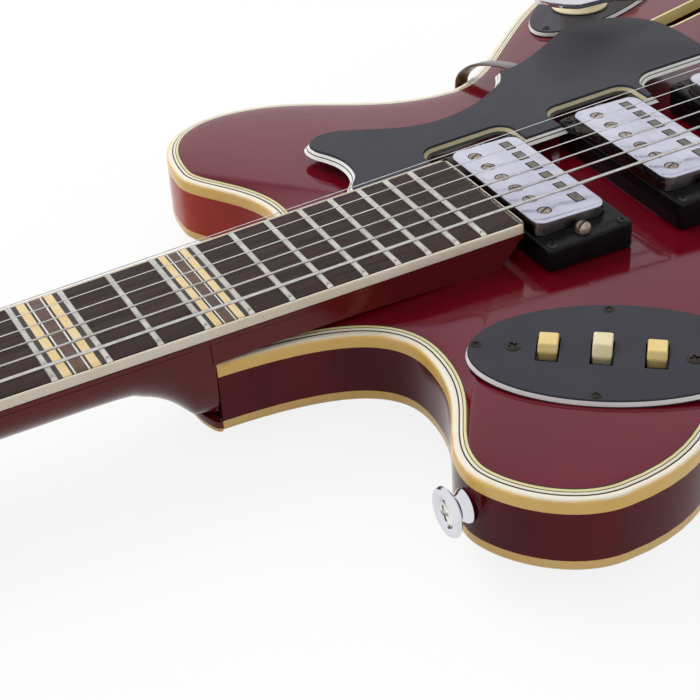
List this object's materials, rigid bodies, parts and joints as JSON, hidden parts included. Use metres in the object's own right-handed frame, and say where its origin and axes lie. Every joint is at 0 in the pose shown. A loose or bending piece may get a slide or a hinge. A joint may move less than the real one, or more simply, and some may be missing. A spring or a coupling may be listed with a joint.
{
  "type": "semi-hollow electric guitar",
  "caption": "Double-cutaway semi-hollow electric guitar with bound arched body, set neck, covered pickups, rocker switches on an oval plate, raised pickguard and vibrato tailpiece",
  "frame": {"origin": "On the back's flat rest face, under the middle of the body's length, with the guitar lying on its back", "axes": "+X runs along the strings from the headstock to the tail, +Y is toward the treble strings, +Z leaves the top"},
  "size_m": [0.9917, 0.4138, 0.0771],
  "materials": {
    "cherry": "gloss",
    "cherry_side": "gloss",
    "cherry_neck": "gloss",
    "spruce": "bare",
    "cream": "gloss",
    "ivory": "gloss",
    "rosewood": "satin",
    "black_plastic": "gloss",
    "cream_plastic": "satin",
    "pale_plastic": "satin",
    "chrome": "polished",
    "steel": "satin",
    "nickel_string": "satin",
    "pot_metal": "satin",
    "phenolic": "matt"
  },
  "bodies": {
    "guitar": {"body_top": "cherry", "body_back": "cherry", "rim_bass": "cherry_side", "rim_treble": "cherry_side", "neck": "cherry_neck", "centre_block": "spruce", "top_binding": "cream", "back_binding": "cream", "heel_cap": "cream", "fingerboard_binding": "ivory", "nut": "ivory", "fingerboard": "rosewood", "bridge_base": "rosewood", "truss_rod_cover": "black_plastic", "pickguard": "black_plastic", "switch_plate": "black_plastic", "control_plate": "black_plastic", "pickup_ring_neck": "black_plastic", "pickup_ring_middle": "black_plastic", "pickup_ring_bridge": "black_plastic", "bridge_saddle": "chrome", "vibrato_base": "chrome", "strap_button_horn": "chrome", "strap_button_tail": "chrome", "output_jack": "chrome", "pickguard_bracket": "chrome", "pickup_neck": "chrome", "pickup_middle": "chrome", "pickup_bridge": "chrome", "truss_rod": "steel", "tuner_plate_bass": "steel", "tuner_plate_treble": "steel", "string_1": "nickel_string", "string_2": "nickel_string", "string_3": "nickel_string", "string_4": "nickel_string", "string_5": "nickel_string", "string_6": "nickel_string", "pot_volume": "pot_metal", "pot_tone": "pot_metal", "switch_block": "phenolic"},
    "button_1": {"tuner_button_1": "chrome"},
    "post_1": {"tuner_post_1": "chrome"},
    "button_2": {"tuner_button_2": "chrome"},
    "post_2": {"tuner_post_2": "chrome"},
    "button_3": {"tuner_button_3": "chrome"},
    "post_3": {"tuner_post_3": "chrome"},
    "button_4": {"tuner_button_4": "chrome"},
    "post_4": {"tuner_post_4": "chrome"},
    "button_5": {"tuner_button_5": "chrome"},
    "post_5": {"tuner_post_5": "chrome"},
    "button_6": {"tuner_button_6": "chrome"},
    "post_6": {"tuner_post_6": "chrome"},
    "switch_1": {"rocker_1": "cream_plastic"},
    "switch_2": {"rocker_2": "pale_plastic"},
    "switch_3": {"rocker_3": "cream_plastic"},
    "volume_control": {"knob_volume": "cream_plastic"},
    "tone_control": {"knob_tone": "cream_plastic"},
    "vibrato": {"vibrato_bar": "chrome"},
    "arm": {"vibrato_arm": "chrome"}
  },
  "joints": [
    {"name": "tuner_button_1_turn", "type": "hinge", "parent": "guitar", "child": "button_1", "pos_m": [-0.62445, -0.025, 0.01422], "axis": [0, 1, 0], "continuous": true},
    {"name": "tuner_post_1_turn", "type": "hinge", "parent": "guitar", "child": "post_1", "pos_m": [-0.63229, -0.025, 0.03844], "axis": [-0.0384, 0, 0.9993], "continuous": true},
    {"name": "tuner_button_2_turn", "type": "hinge", "parent": "guitar", "child": "button_2", "pos_m": [-0.66242, -0.025, 0.01277], "axis": [0, 1, 0], "continuous": true},
    {"name": "tuner_post_2_turn", "type": "hinge", "parent": "guitar", "child": "post_2", "pos_m": [-0.67026, -0.025, 0.03698], "axis": [-0.0384, 0, 0.9993], "continuous": true},
    {"name": "tuner_button_3_turn", "type": "hinge", "parent": "guitar", "child": "button_3", "pos_m": [-0.70039, -0.025, 0.01131], "axis": [0, 1, 0], "continuous": true},
    {"name": "tuner_post_3_turn", "type": "hinge", "parent": "guitar", "child": "post_3", "pos_m": [-0.70823, -0.025, 0.03552], "axis": [-0.0384, 0, 0.9993], "continuous": true},
    {"name": "tuner_button_4_turn", "type": "hinge", "parent": "guitar", "child": "button_4", "pos_m": [-0.70039, 0.025, 0.01131], "axis": [0, 1, 0], "continuous": true},
    {"name": "tuner_post_4_turn", "type": "hinge", "parent": "guitar", "child": "post_4", "pos_m": [-0.70823, 0.025, 0.03552], "axis": [-0.0384, 0, 0.9993], "continuous": true},
    {"name": "tuner_button_5_turn", "type": "hinge", "parent": "guitar", "child": "button_5", "pos_m": [-0.66242, 0.025, 0.01277], "axis": [0, 1, 0], "continuous": true},
    {"name": "tuner_post_5_turn", "type": "hinge", "parent": "guitar", "child": "post_5", "pos_m": [-0.67026, 0.025, 0.03698], "axis": [-0.0384, 0, 0.9993], "continuous": true},
    {"name": "tuner_button_6_turn", "type": "hinge", "parent": "guitar", "child": "button_6", "pos_m": [-0.62445, 0.025, 0.01422], "axis": [0, 1, 0], "continuous": true},
    {"name": "tuner_post_6_turn", "type": "hinge", "parent": "guitar", "child": "post_6", "pos_m": [-0.63229, 0.025, 0.03844], "axis": [-0.0384, 0, 0.9993], "continuous": true},
    {"name": "rocker_1_tilt", "type": "hinge", "parent": "guitar", "child": "switch_1", "pos_m": [-0.14474, -0.0851, 0.04255], "axis": [0.8006, -0.5989, -0.0199], "range_deg": [0, 22]},
    {"name": "rocker_2_tilt", "type": "hinge", "parent": "guitar", "child": "switch_2", "pos_m": [-0.13081, -0.09552, 0.0422], "axis": [0.8006, -0.5989, -0.0199], "range_deg": [-22, 0]},
    {"name": "rocker_3_tilt", "type": "hinge", "parent": "guitar", "child": "switch_3", "pos_m": [-0.11688, -0.10594, 0.04186], "axis": [0.8006, -0.5989, -0.0199], "range_deg": [0, 22]},
    {"name": "volume_turn", "type": "hinge", "parent": "guitar", "child": "volume_control", "pos_m": [0.02306, 0.15455, 0.04046], "axis": [-0.0189, 0.0512, 0.9985], "range_deg": [-140, 140]},
    {"name": "tone_turn", "type": "hinge", "parent": "guitar", "child": "tone_control", "pos_m": [0.05874, 0.17265, 0.04021], "axis": [-0.0189, 0.0512, 0.9985], "range_deg": [-140, 140]},
    {"name": "vibrato_rock", "type": "hinge", "parent": "guitar", "child": "vibrato", "pos_m": [0.18, 0, 0.058], "axis": [0, 1, 0], "range_deg": [-2.5, 4], "stiffness_Nm_per_rad": 60},
    {"name": "arm_swing", "type": "hinge", "parent": "vibrato", "child": "arm", "pos_m": [0.18, 0.05, 0.058], "axis": [0, 0, 1], "range_deg": [-150, 8]}
  ],
  "couplings": [
    {"joint": "tuner_post_1_turn", "follows": "tuner_button_1_turn", "ratio": -0.07143},
    {"joint": "tuner_post_2_turn", "follows": "tuner_button_2_turn", "ratio": -0.07143},
    {"joint": "tuner_post_3_turn", "follows": "tuner_button_3_turn", "ratio": -0.07143},
    {"joint": "tuner_post_4_turn", "follows": "tuner_button_4_turn", "ratio": 0.07143},
    {"joint": "tuner_post_5_turn", "follows": "tuner_button_5_turn", "ratio": 0.07143},
    {"joint": "tuner_post_6_turn", "follows": "tuner_button_6_turn", "ratio": 0.07143}
  ]
}
